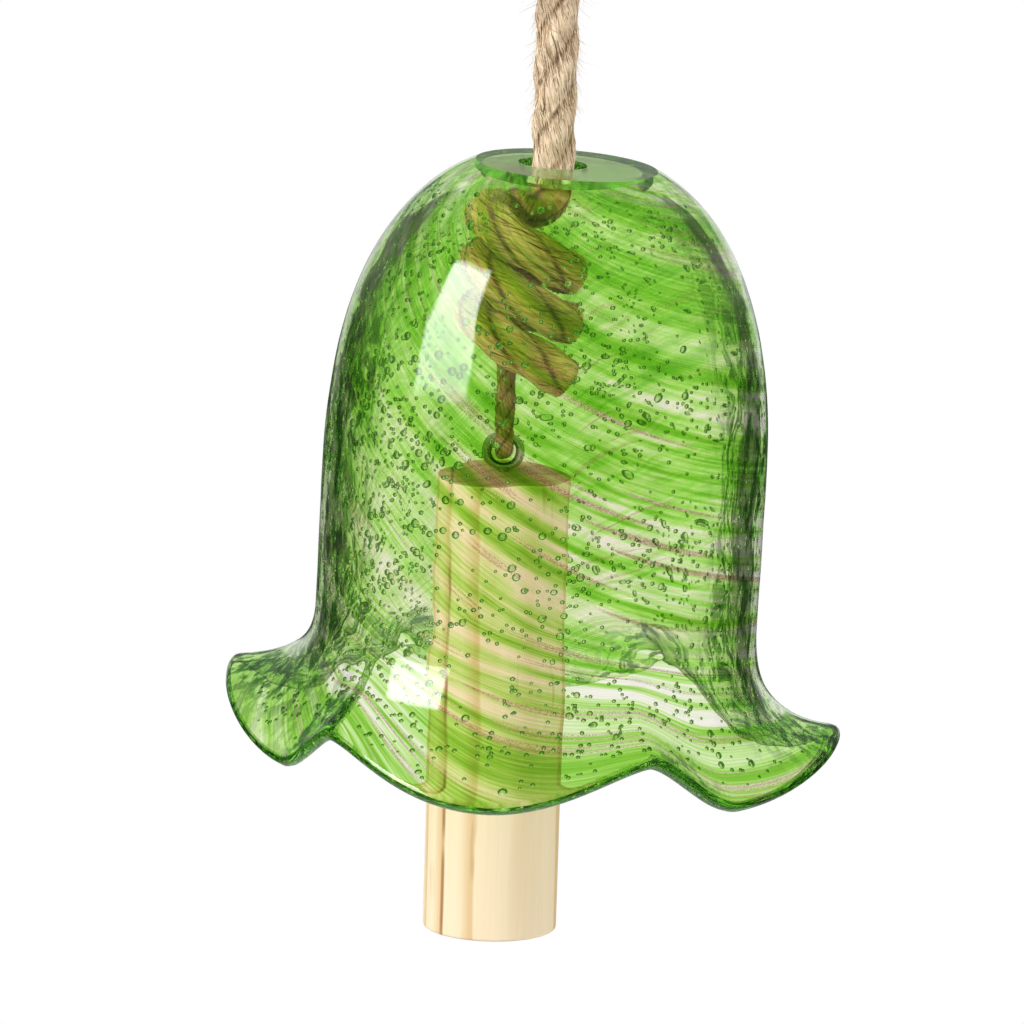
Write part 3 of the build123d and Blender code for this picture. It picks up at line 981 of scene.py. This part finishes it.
def bubble_list(settings):
    """Seeded bubbles: place, half axes in metres and fineness of the ball."""
    chance = random.Random(BUBBLE_SEED)
    made = []
    tries = 0
    while len(made) < settings.bubbles and tries < BUBBLE_TRIES * settings.bubbles:
        tries += 1
        degrees = chance.uniform(-180, 180)
        run = chance.uniform(8, NECK_RUN + LIP_RUN * 0.94)
        crowd = 0.42 + 0.8 * noise.noise(Vector((degrees * 0.035, run * 0.06, 3.1)))
        left = 0.5 - 0.5 * math.sin(math.radians(degrees))
        low = 0.35 + 0.65 * min(1, run / NECK_RUN)
        likely = crowd * (0.55 + 0.45 * left) * low * 1.6
        if chance.random() > likely or run < BUBBLE_START:
            continue
        outer, inner, thick = wall_at(degrees, run)
        wide = chance.random() < 0.06 + 0.2 * left**2
        size = settings.bubble_radius * chance.uniform(*(WIDE_BUBBLE if wide else SMALL_BUBBLE))
        room = 1 - 2 * (size / MM + BUBBLE_COVER) / thick
        place = inner + (outer - inner) * (0.5 + 0.5 * room * chance.uniform(-1, 1))
        out = Vector(outer - inner).normalized()
        turn = math.radians(degrees)
        level = Vector((math.cos(turn), math.sin(turn), 0))
        slope = Matrix.Rotation(math.radians(chance.uniform(*BUBBLE_SLOPE)), 3, out)
        long_way = slope @ (level - out * level.dot(out)).normalized()
        stretch = chance.uniform(*BUBBLE_STRETCH)
        flat = chance.uniform(*(WIDE_FLATNESS if wide else SMALL_FLATNESS))
        ways = (long_way * size * stretch, out.cross(long_way) * size, out * size * flat)
        made.append((place, ways, 2 if wide else 1))
    return made


def bubble_ball(fineness):
    """Corners and triangles of a small ball, turned inside out."""
    ball = bmesh.new()
    bmesh.ops.create_icosphere(ball, subdivisions=fineness, radius=1)
    corners = np.array([vertex.co for vertex in ball.verts])
    triangles = np.array([[vertex.index for vertex in face.verts][::-1] for face in ball.faces])
    ball.free()
    return corners, triangles


def through_light(tree, output, shader, tint):
    """Lets lamps shine through glass: shadow and diffuse rays pass, trapped light glows green."""
    path = add_node(tree, "LightPath")
    passing = larger(tree, path.outputs["Is Shadow Ray"], path.outputs["Is Diffuse Ray"])
    clear = add_node(tree, "BsdfTransparent", {"Color": tint})
    trapped = math_node(tree, "GREATER_THAN", path.outputs["Glossy Depth"], TRAPPED_DEPTH)
    body = object_place(tree)
    height = parts_of(tree, body)[2]
    top = remap(tree, height, GLASS_TOP.z - 8 * MM, GLASS_TOP.z - 5 * MM, 0.0, 0.14)
    green = ramp(tree, plus(tree, noise_node(tree, body, 420.0, 2, 0.6), top), (
        (0.38, (0.005, 0.020, 0.003)), (0.54, (0.026, 0.09, 0.011)), (0.68, (0.14, 0.36, 0.055))))
    near = add_node(tree, "BsdfDiffuse", {"Color": green})
    far = add_node(tree, "BsdfTranslucent", {"Color": green})
    glow = add_node(tree, "AddShader", {0: near.outputs[0], 1: far.outputs[0]})
    mix = mix_shader(tree, passing, mix_shader(tree, trapped, shader, glow), clear)
    tree.links.new(mix.outputs[0], output.inputs[0])


def swirl_glass(settings):
    """Clear glass with green streaks, pale streaks and a few streaks of mica, darker and mottled at the
    edges, partly as painted shade.
    """
    material, tree, output = new_tree("swirl_glass")
    place = attribute(tree, "swirl_place", "Vector")
    broad = noise_node(tree, place, 7.0, 2.5, 0.55, 0.25)
    thin = noise_node(tree, stretched(tree, place, 1, 1, 1.6), 33.0, 3, 0.6, 0.15)
    streak = math_node(tree, "MULTIPLY_ADD", thin, 0.40, times(tree, broad, 0.60))
    low = parts_of(tree, place)[2]
    streak = plus(tree, streak, remap(tree, low, 0.10, 0.37, -0.062, 0.026))
    streak = plus(tree, streak, remap(tree, low, 0.41, 0.46, 0.0, -0.088))
    colour = ramp(tree, streak, (
        (0.385, settings.deep_green), (0.45, settings.green), (0.51, (0.70, 0.89, 0.47)),
        (0.57, settings.clear), (0.62, settings.clear)))
    mica = noise_node(tree, vector_node(tree, "ADD", place, (3.7, 1.1, 0.4)), 15.0, 1.5, 0.4)
    body = object_place(tree)
    flecks = ramp(tree, noise_node(tree, body, 4200.0, 2, 0.7), (
        (0.38, (0.34, 0.22, 0.17)), (0.5, settings.mica), (0.62, (0.95, 0.85, 0.80))))
    colour = mix_colour(tree, remap(tree, mica, 0.645, 0.69), colour, flecks)
    colour = mix_colour(tree, attribute(tree, "front"), settings.back, colour)
    # Darker, mottled green where the surface turns away from the view: partly the longer path through
    # the green glass, partly painted shade standing in for the dark surroundings that the edges refract
    slant = add_node(tree, "LayerWeight", {"Blend": 0.5}).outputs["Facing"]
    mottle = noise_node(tree, stretched(tree, body, 1, 1, 0.45), 400.0, 3, 0.62)
    shade = ramp(tree, mottle, (
        (0.43, (0.016, 0.07, 0.006)), (0.49, (0.17, 0.44, 0.06)), (0.55, (0.95, 1.0, 0.75))))
    deep = mix_colour(tree, 1.0, colour, shade, "MULTIPLY")
    edge = times(tree, remap(tree, slant, 0.38, 0.6), remap(tree, slant, 0.86, 0.74))
    # Painted light: the edge shade is halved near the top, so that the shoulders look lighter
    edge = times(tree, edge, remap(tree, low, 0.06, 0.22, 0.5, 1.0))
    colour = mix_colour(tree, edge, colour, deep)
    shader = add_node(tree, "BsdfPrincipled", {
        "Base Color": colour, "Roughness": 0.015, "IOR": 1.5, "Transmission Weight": 1.0})
    through_light(tree, output, shader, (0.95, 0.97, 0.90))
    return material


def plain_glass(name, colour, roughness, bending):
    """Glass of one tint, for the bubbles' skins and the ground top."""
    material, tree, output = new_tree(name)
    grain = noise_node(tree, object_place(tree), 120.0, 3, 0.6)
    rough = remap(tree, grain, 0.3, 0.7, roughness * 0.8, roughness * 1.2)
    shader = add_node(tree, "BsdfPrincipled", {
        "Base Color": colour, "Roughness": rough, "IOR": bending, "Transmission Weight": 1.0})
    through_light(tree, output, shader, colour)
    return material


class WIND_BELL_OT_glass(bpy.types.Operator):
    """Blown glass bell with its swirls and bubbles"""

    bl_idname = "wind_bell.glass"
    bl_label = "Glass bell"

    def execute(self, context):
        settings = context.scene.wind_bell_glass
        angle = np.linspace(-math.pi, math.pi, BELL_SIDES, endpoint=False)
        waves = np.array([lip_edge(math.degrees(turn)) for turn in angle]).T
        rows = bell_rows(angle, waves, settings.waviness / MM)
        rings = [bell_places(angle, radius, drop) for radius, drop, _ in rows]
        ceiling = hole_ring(angle, TOP_THICKNESS + 0 * angle)
        ground = hole_ring(angle, HOLE_R * np.sin(angle) * GRIND_SLOPE)
        rings += rings_between(rings[-1], ceiling, CEILING_SHARES)
        rings += rings_between(ceiling, ground, HOLE_SHARES)
        rings += rings_between(ground, rings[0], DISC_SHARES)
        places = np.concatenate(rings)
        faces = grid_faces(len(rings), BELL_SIDES)
        last = (len(rings) - 1) * BELL_SIDES
        for side in range(BELL_SIDES):
            after = (side + 1) % BELL_SIDES
            faces.append((last + side, last + after, after, side))
        faces = [face[::-1] for face in faces]
        bell_faces = len(faces)
        clouds = [places]
        first = len(places)
        balls = {fineness: bubble_ball(fineness) for fineness in (1, 2)}
        for middle, ways, fineness in bubble_list(settings):
            corners, triangles = balls[fineness]
            clouds.append(corners @ np.array(ways) + np.array(middle))
            faces += (triangles + first).tolist()
            first += len(corners)
        skin = first - len(places)
        piece = new_piece("blown_glass", np.concatenate(clouds), faces, swirl_glass(settings))
        piece.data.materials.append(plain_glass("bubble_skin", (0.76, 0.89, 0.62), 0.01, 1.5))
        piece.data.materials.append(plain_glass("ground_glass", (0.66, 0.76, 0.43), 0.16, 1.5))
        corner_rows = np.cumsum([len(rows) - 1, len(CEILING_SHARES), len(HOLE_SHARES)])
        slots = np.zeros(len(faces), np.int32)
        slots[bell_faces:] = 1
        slots[corner_rows[-1] * BELL_SIDES:bell_faces] = 2
        piece.data.polygons.foreach_set("material_index", slots)
        runs = np.concatenate([run for _, _, run in rows])
        runs = np.concatenate([runs, np.zeros(len(places) - len(runs))])
        swirl = swirl_place(np.tile(angle, len(rings)), runs)
        put_attribute(piece, "swirl_place", "FLOAT_VECTOR", np.vstack([swirl, np.zeros((skin, 3))]))
        front = np.tile(np.clip(np.cos(angle) + 0.75, 0, 1), len(rings))
        front = 0.6 + 0.4 * front**2 * (3 - 2 * front)
        put_attribute(piece, "front", "FLOAT", np.concatenate([front, np.zeros(skin)]))
        sharp_rows = {row * BELL_SIDES for row in (0, *corner_rows)}
        for edge in piece.data.edges:
            one, two = sorted(edge.vertices)
            row = one - one % BELL_SIDES
            if two < len(places) and row in sharp_rows and two < row + BELL_SIDES:
                edge.use_edge_sharp = True
        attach(piece, "bell")
        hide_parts("glass_bell")
        return {"FINISHED"}


# Clapper


def pine_material(settings):
    """Pine with growth rings, fibres, a few resin lines and darker sawn ends, partly as painted shade.
    """
    material, tree, output = new_tree("pine")
    place = vector_node(tree, "ADD", object_place(tree), (-CLAPPER_X, 0, 0))
    drift = noise_node(tree, stretched(tree, place, 60, 60, 9), 1.0, 2, 0.5)
    across, back, _ = parts_of(tree, place)
    from_pith = [plus(tree, part, -pith) for part, pith in zip((across, back), PITH)]
    squared = [times(tree, part, part) for part in from_pith]
    radius = math_node(tree, "SQRT", plus(tree, *squared))
    radius = math_node(tree, "MULTIPLY_ADD", drift, 0.0045, radius)
    ring = math_node(tree, "FRACT", math_node(tree, "DIVIDE", radius, settings.ring_spacing))
    wood = ramp(tree, ring, (
        (0.0, settings.early_wood), (0.55, settings.early_wood), (0.86, settings.late_wood),
        (0.94, settings.late_wood), (1.0, settings.early_wood)))
    fibre = noise_node(tree, stretched(tree, place, 900, 900, 28), 1.0, 3, 0.6)
    shade = remap(tree, fibre, 0.3, 0.7, 0.0, 0.16)
    wood = mix_colour(tree, shade, wood, settings.late_wood)
    line_place = math_node(tree, "MULTIPLY_ADD", drift, 0.0016, across)
    off_line = math_node(tree, "ABSOLUTE", plus(tree, line_place, RESIN_LINE))
    breaks = noise_node(tree, stretched(tree, place, 40, 40, 70), 1.0, 2, 0.5)
    line = times(tree, remap(tree, off_line, 0.1 * MM, 0.42 * MM, 1.0, 0.0),
                 remap(tree, breaks, 0.36, 0.6, 0.12, 0.9))
    pores = noise_node(tree, stretched(tree, place, 420, 420, 45), 1.0, 2, 0.5)
    resin = larger(tree, line, times(tree, remap(tree, pores, 0.66, 0.76), 0.35))
    wood = mix_colour(tree, resin, wood, settings.resin)
    # The sawn ends are darkened: partly the darker end grain of pine, partly painted shade on the
    # dowel's top end under the knot
    facing = parts_of(tree, add_node(tree, "TexCoord").outputs["Normal"])[2]
    sawn = remap(tree, math_node(tree, "ABSOLUTE", facing), 0.6, 0.8)
    end_grain_and_shade = mix_colour(tree, 1.0, wood, settings.end_grain_and_shade, "MULTIPLY")
    principled(tree, output, {
        "Base Color": mix_colour(tree, sawn, wood, end_grain_and_shade),
        "Roughness": remap(tree, fibre, 0.3, 0.7, 0.52, 0.68),
        "Specular IOR Level": 0.3, "Normal": bump(tree, fibre, 0.18, 0.2 * MM)})
    return material


def zinc_material(settings):
    """Bright zinc plating with fine scratches and duller patches."""
    material, tree, output = new_tree("zinc")
    body = object_place(tree)
    patches = noise_node(tree, body, 500.0, 3, 0.6)
    scratches = noise_node(tree, stretched(tree, body, 4000, 900, 900), 1.0, 2, 0.6)
    dull = tuple(0.7 * value for value in settings.zinc)
    principled(tree, output, {
        "Base Color": mix_colour(tree, patches, settings.zinc, dull), "Metallic": 1.0,
        "Roughness": remap(tree, patches, 0.3, 0.7, 0.16, 0.34),
        "Normal": bump(tree, scratches, 0.15, 0.05 * MM)})
    return material


class WIND_BELL_OT_clapper(bpy.types.Operator):
    """Finish of the pine dowel and its screw eye"""

    bl_idname = "wind_bell.clapper"
    bl_label = "Clapper"

    def execute(self, context):
        settings = context.scene.wind_bell_clapper
        for node, material in (
            ("clapper_dowel", pine_material(settings)),
            ("screw_eye", zinc_material(settings)),
        ):
            mesh = frame["nodes"][node].data
            mesh.materials.clear()
            mesh.materials.append(material)
        return {"FINISHED"}


# Stage


def stage_plane(name, corners, material):
    """A flat stage panel through its corners."""
    mesh = bpy.data.meshes.new(name)
    mesh.from_pydata([tuple(corner) for corner in corners], [], [tuple(range(len(corners)))])
    panel = bpy.data.objects.new(name, mesh)
    bpy.context.scene.collection.objects.link(panel)
    mesh.materials.append(material)
    return panel


def floor_material(radius):
    """Plain pale floor that fades out towards its edge."""
    material, tree, output = new_tree("pale_floor")
    body = object_place(tree)
    away = vector_node(tree, "LENGTH", body).node.outputs["Value"]
    grain = noise_node(tree, body, 40.0, 2, 0.5)
    colour = mix_colour(tree, grain, (0.88, 0.88, 0.87), (0.92, 0.92, 0.91))
    shader = add_node(tree, "BsdfPrincipled", {"Base Color": colour, "Roughness": 0.9})
    fade = remap(tree, away, radius * 0.35, radius * 0.95)
    mix = mix_shader(tree, fade, shader, add_node(tree, "BsdfTransparent"))
    tree.links.new(mix.outputs[0], output.inputs[0])
    return material


def softbox_material(foot, head):
    """White light of a softbox's cloth, brighter at its head and dim at its hems."""
    material, tree, output = new_tree("softbox_cloth")
    across, up, _ = parts_of(tree, attribute(tree, "cloth", "Vector"))
    level = remap(tree, up, 0.0, 1.0, foot, head)
    for part in (across, up):
        off = math_node(tree, "ABSOLUTE", plus(tree, part, -0.5))
        level = times(tree, level, remap(tree, off, 0.42, 0.5, 1.0, 0.25))
    glow = add_node(tree, "Emission", {"Color": (1, 1, 1), "Strength": level})
    tree.links.new(glow.outputs[0], output.inputs[0])
    return material


def area_lamp(name, place, aim, width, height, power):
    """A soft lamp that faces its aim."""
    lamp = bpy.data.lights.new(name, "AREA")
    lamp.shape = "RECTANGLE"
    lamp.size = width
    lamp.size_y = height
    lamp.energy = power
    made = bpy.data.objects.new(name, lamp)
    made.location = place
    made.rotation_euler = (Vector(aim) - Vector(place)).to_track_quat("-Z", "Y").to_euler()
    made.visible_glossy = False
    made.visible_transmission = False
    bpy.context.scene.collection.objects.link(made)


def studio_world(settings):
    """White surroundings for the camera, and white panels round a dim studio for the glass."""
    world = bpy.data.worlds.new("studio")
    world.use_nodes = True
    bpy.context.scene.world = world
    tree = world.node_tree
    tree.nodes.clear()
    right, back, up = parts_of(tree, add_node(tree, "TexCoord").outputs["Generated"])
    azimuth = math_node(tree, "ARCTAN2", right, back)
    quarters = math_node(tree, "COSINE", times(tree, azimuth, 4.0))
    low = larger(tree, remap(tree, up, -0.26, -0.32), remap(tree, back, 0.0, -0.2))
    between = times(tree, remap(tree, quarters, -0.66, -0.8), low)
    behind = times(tree, remap(tree, quarters, -0.1, 0.25), remap(tree, back, 0.5, 0.8))
    panels = larger(tree, remap(tree, quarters, 0.0, 0.35), between)
    panels = larger(tree, panels, behind)
    panels = larger(tree, panels, remap(tree, up, 0.3, 0.6))
    panels = larger(tree, panels, remap(tree, up, -0.75, -0.9))
    level = remap(tree, panels, 0.0, 1.0, 0.2, 1.0)
    mirrored = times(
        tree, remap(tree, up, -0.05, 0.16, 0.05, 0.29), remap(tree, back, 0.4, 0.9, 0.35, 1.0))
    horizon = times(tree, remap(tree, up, -0.17, -0.1), remap(tree, up, 0.14, 0.04))
    horizon = times(tree, horizon, remap(tree, back, 0.8, 0.95, 0.0, 0.8))
    mirrored = larger(tree, mirrored, horizon)
    path = add_node(tree, "LightPath").outputs
    level = add_node(tree, "Mix", {0: path["Is Transmission Ray"], 2: mirrored, 3: level}).outputs[0]
    room, studio, white = (
        add_node(tree, "Background", {"Color": (1, 1, 1), "Strength": strength})
        for strength in (settings.sky, level, 1.0)
    )
    shiny = larger(tree, path["Is Glossy Ray"], path["Is Transmission Ray"])
    seen = mix_shader(tree, path["Is Camera Ray"], mix_shader(tree, shiny, room, studio), white)
    output = tree.nodes.new("ShaderNodeOutputWorld")
    tree.links.new(seen.outputs[0], output.inputs[0])


class WIND_BELL_OT_stage(bpy.types.Operator):
    """Floor, lamps, world and camera"""

    bl_idname = "wind_bell.stage"
    bl_label = "Stage"

    def execute(self, context):
        settings = context.scene.wind_bell_stage
        scene = context.scene
        scene.view_settings.view_transform = "Standard"
        angles = [math.radians(turn) for turn in range(0, 360, 6)]
        ring = [(FLOOR_R * math.cos(angle), FLOOR_R * math.sin(angle), 0) for angle in angles]
        floor = stage_plane("floor", ring, floor_material(FLOOR_R))
        floor.location = (0, 0, settings.floor)
        softbox = stage_plane("softbox", SOFTBOX, softbox_material(*SOFTBOX_LEVELS))
        put_attribute(softbox, "cloth", "FLOAT_VECTOR", ((0, 1, 0), (1, 1, 0), (1, 0, 0), (0, 0, 0)))
        softbox.visible_camera = False
        softbox.visible_diffuse = False
        softbox.visible_transmission = False
        softbox.visible_shadow = False
        studio_world(settings)
        area_lamp("key_lamp", (-0.95, -0.62, 0.45), LAMP_AIM, 0.65, 0.9, settings.key)
        area_lamp("fill_lamp", (1.1, -0.75, 0.3), LAMP_AIM, 0.8, 0.9, settings.fill)
        area_lamp("top_lamp", (0.1, 0.35, 1.15), LAMP_AIM, 0.9, 0.9, settings.fill)
        centre = Vector((0, 0, GLASS_TOP.z - VIEW_DROP))
        back = Vector((0, -math.cos(settings.elevation), math.sin(settings.elevation)))
        camera = bpy.data.objects.new("camera", bpy.data.cameras.new("camera"))
        camera.data.lens = settings.lens
        camera.data.sensor_width = 36.0
        camera.data.shift_x, camera.data.shift_y = CAMERA_SHIFT
        camera.data.clip_end = 20.0
        turn = back.to_track_quat("Z", "Y").to_matrix().to_4x4()
        place = Matrix.Translation(centre + back * settings.distance)
        camera.matrix_world = place @ turn @ Matrix.Rotation(settings.roll, 4, "Z")
        scene.collection.objects.link(camera)
        scene.camera = camera
        return {"FINISHED"}


class WIND_BELL_PT_panel(bpy.types.Panel):
    """Buttons for the pieces of the wind bell"""

    bl_label = "Wind bell"
    bl_idname = "WIND_BELL_PT_panel"
    bl_space_type = "VIEW_3D"
    bl_region_type = "UI"
    bl_category = "Wind bell"

    def draw(self, context):
        for holder in ("rope", "glass", "clapper", "stage"):
            settings = getattr(context.scene, "wind_bell_" + holder)
            box = self.layout.box()
            for name in settings.__annotations__:
                box.prop(settings, name)
        for operator in OPERATORS:
            self.layout.operator(operator.bl_idname)


SETTINGS = {
    "wind_bell_rope": RopeSettings,
    "wind_bell_glass": GlassSettings,
    "wind_bell_clapper": ClapperSettings,
    "wind_bell_stage": StageSettings,
}
OPERATORS = (
    WIND_BELL_OT_loop,
    WIND_BELL_OT_hanging_rope,
    WIND_BELL_OT_stopper,
    WIND_BELL_OT_twine,
    WIND_BELL_OT_glass,
    WIND_BELL_OT_clapper,
    WIND_BELL_OT_stage,
)


def register():
    for name, group in SETTINGS.items():
        bpy.utils.register_class(group)
        setattr(bpy.types.Scene, name, bpy.props.PointerProperty(type=group))
    for made in (*OPERATORS, WIND_BELL_PT_panel):
        bpy.utils.register_class(made)


def unregister():
    for made in (WIND_BELL_PT_panel, *reversed(OPERATORS)):
        bpy.utils.unregister_class(made)
    for name, group in SETTINGS.items():
        delattr(bpy.types.Scene, name)
        bpy.utils.unregister_class(group)


def main():
    register()
    bpy.ops.wind_bell.loop()
    bpy.ops.wind_bell.hanging_rope()
    bpy.ops.wind_bell.stopper()
    bpy.ops.wind_bell.twine()
    bpy.ops.wind_bell.glass()
    bpy.ops.wind_bell.clapper()
    bpy.ops.wind_bell.stage()


if __name__ == "__main__":
    main()
